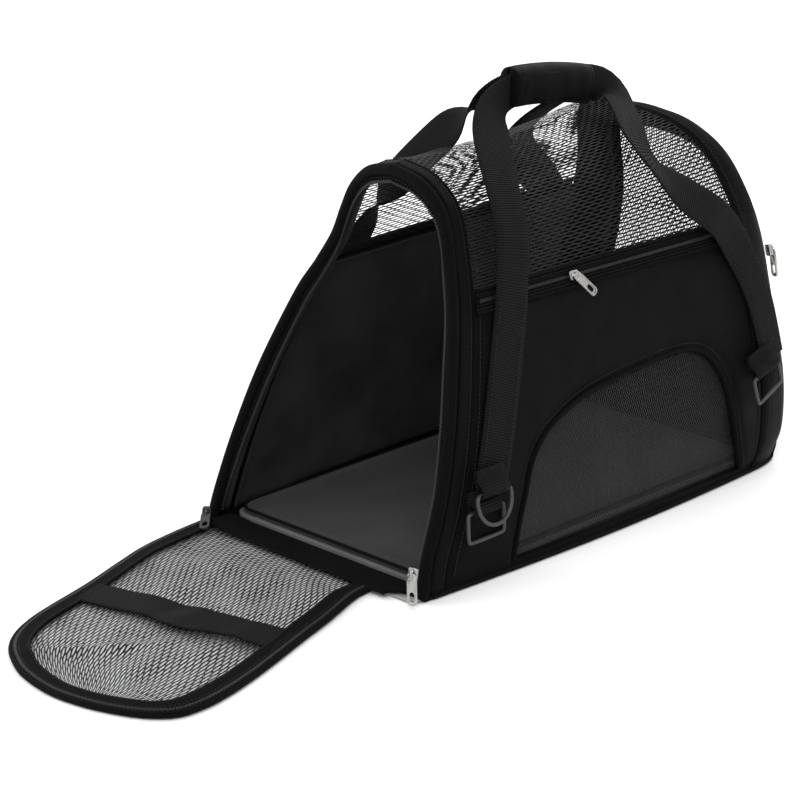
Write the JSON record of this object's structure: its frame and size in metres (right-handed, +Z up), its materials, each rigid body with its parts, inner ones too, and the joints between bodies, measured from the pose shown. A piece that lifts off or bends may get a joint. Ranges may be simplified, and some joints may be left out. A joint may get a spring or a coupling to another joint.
{
  "type": "pet carrier bag",
  "caption": "Soft-sided pet carrier bag with a mesh roof, a side window, a fold-down zipped door flap and padded carrying handles",
  "frame": {"origin": "centre of the underside of the base panel", "axes": "+Z up, +Y along the bag towards its closed rear end, +X towards the side with the window; the door is at -Y"},
  "size_m": [0.2974, 0.8501, 0.3939],
  "materials": {
    "fabric": "woven",
    "mesh": "open mesh",
    "webbing": "ribbed",
    "mat": "felted",
    "board": "matte",
    "steel": "satin",
    "nickel": "polished",
    "plastic": "satin"
  },
  "bodies": {
    "bag": {"base_panel": "fabric", "base_board": "board", "near_side_panel": "fabric", "far_side_panel": "fabric", "near_window_mesh": "mesh", "near_window_piping": "fabric", "roof_mesh": "mesh", "near_top_band": "webbing", "far_top_band": "webbing", "top_zip": "webbing", "front_gusset": "fabric", "rear_gusset": "fabric", "rear_sill": "fabric", "front_rim": "fabric", "front_frame_wire": "steel", "rear_rim": "fabric", "rear_frame_wire": "steel", "near_front_strap": "webbing", "near_rear_strap": "webbing", "far_front_strap": "webbing", "far_rear_strap": "webbing", "near_front_square_ring": "plastic", "far_front_square_ring": "plastic"},
    "mat": {"floor_mat": "mat"},
    "door_strip": {"door_hinge_strip": "webbing"},
    "door": {"door_border": "fabric", "door_lower_mesh": "mesh", "door_upper_mesh": "mesh", "door_band": "webbing"},
    "rear_door": {"rear_lower_panel": "fabric", "rear_mesh": "mesh"},
    "near_handle": {"near_handle_loop": "webbing", "near_grip_pad": "fabric"},
    "far_handle": {"far_handle_loop": "webbing", "far_grip_pad": "fabric"},
    "near_d_ring": {"near_front_d_ring": "plastic"},
    "far_d_ring": {"far_front_d_ring": "plastic"},
    "near_back_ring": {"near_rear_ring": "plastic"},
    "far_back_ring": {"far_rear_ring": "plastic"},
    "top_slider": {"top_zip_slider": "nickel"},
    "top_pull": {"top_zip_pull": "nickel"},
    "near_door_slider": {"near_door_zip_slider": "nickel"},
    "near_door_pull": {"near_door_zip_pull": "nickel"},
    "far_door_slider": {"far_door_zip_slider": "plastic"},
    "far_door_pull": {"far_door_zip_pull": "plastic"},
    "rear_slider": {"rear_zip_slider": "nickel"},
    "rear_pull": {"rear_zip_pull": "nickel"}
  },
  "joints": [
    {"name": "door_hinge", "type": "hinge", "parent": "bag", "child": "door_strip", "pos_m": [0, -0.241, 0.004], "axis": [-1, 0, 0], "range_deg": [0, 105]},
    {"name": "door_turn", "type": "hinge", "parent": "door_strip", "child": "door", "pos_m": [0, -0.321, 0.004], "axis": [0, 0, -1], "range_deg": [0, 12]},
    {"name": "rear_door_hinge", "type": "hinge", "parent": "bag", "child": "rear_door", "pos_m": [0, 0.25, 0.014], "axis": [-1, 0, 0], "range_deg": [0, 85]},
    {"name": "near_handle_fold", "type": "hinge", "parent": "bag", "child": "near_handle", "pos_m": [0.115, 0.179, 0.238], "axis": [0.0784, 0.9969, 0], "range_deg": [0, 165]},
    {"name": "far_handle_fold", "type": "hinge", "parent": "bag", "child": "far_handle", "pos_m": [-0.115, 0.179, 0.238], "axis": [0.0784, -0.9969, 0], "range_deg": [0, 165]},
    {"name": "mat_lift", "type": "slide", "parent": "bag", "child": "mat", "axis": [0, 0, 1], "range_m": [0, 0.04]},
    {"name": "near_d_ring_swing", "type": "hinge", "parent": "bag", "child": "near_d_ring", "pos_m": [0.1402, -0.162, 0.082], "axis": [0, -1, 0], "range_deg": [0, 100]},
    {"name": "far_d_ring_swing", "type": "hinge", "parent": "bag", "child": "far_d_ring", "pos_m": [-0.1402, -0.162, 0.082], "axis": [0, 1, 0], "range_deg": [0, 100]},
    {"name": "near_rear_ring_swing", "type": "hinge", "parent": "bag", "child": "near_back_ring", "pos_m": [0.14256, 0.207, 0.1], "axis": [0.1342, -0.9507, -0.2796], "range_deg": [0, 90]},
    {"name": "far_rear_ring_swing", "type": "hinge", "parent": "bag", "child": "far_back_ring", "pos_m": [-0.14256, 0.207, 0.1], "axis": [0.1342, 0.9507, 0.2796], "range_deg": [0, 90]},
    {"name": "top_slider_slide", "type": "slide", "parent": "bag", "child": "top_slider", "axis": [0.0395, 0.9992, -0.0028], "range_m": [-0.04, 0.15]},
    {"name": "top_pull_swing", "type": "hinge", "parent": "top_slider", "child": "top_pull", "pos_m": [0.10179, -0.01726, 0.23106], "axis": [0.2162, -0.7879, -0.5766], "range_deg": [0, 150]},
    {"name": "near_door_slider_slide", "type": "slide", "parent": "bag", "child": "near_door_slider", "axis": [0, 0.37, 0.929], "range_m": [0, 0.045]},
    {"name": "near_door_pull_swing", "type": "hinge", "parent": "near_door_slider", "child": "near_door_pull", "pos_m": [0.13422, -0.25448, 0.03135], "axis": [-0.9386, -0.3362, -0.0771], "range_deg": [0, 150]},
    {"name": "far_door_slider_slide", "type": "slide", "parent": "bag", "child": "far_door_slider", "axis": [0, 0.37, 0.929], "range_m": [0, 0.045]},
    {"name": "far_door_pull_swing", "type": "hinge", "parent": "far_door_slider", "child": "far_door_pull", "pos_m": [-0.12179, -0.25195, 0.01337], "axis": [-0.7159, -0.6846, -0.1369], "range_deg": [0, 85]},
    {"name": "rear_slider_slide", "type": "slide", "parent": "bag", "child": "rear_slider", "axis": [0.1999, 0.02, -0.9796], "range_m": [0, 0.1]},
    {"name": "rear_pull_swing", "type": "hinge", "parent": "rear_slider", "child": "rear_pull", "pos_m": [0.09822, 0.26948, 0.19335], "axis": [0.9351, -0.3379, 0.1065], "range_deg": [0, 150]}
  ],
  "couplings": [
    {"joint": "door_turn", "follows": "door_hinge", "ratio": 0.114}
  ]
}
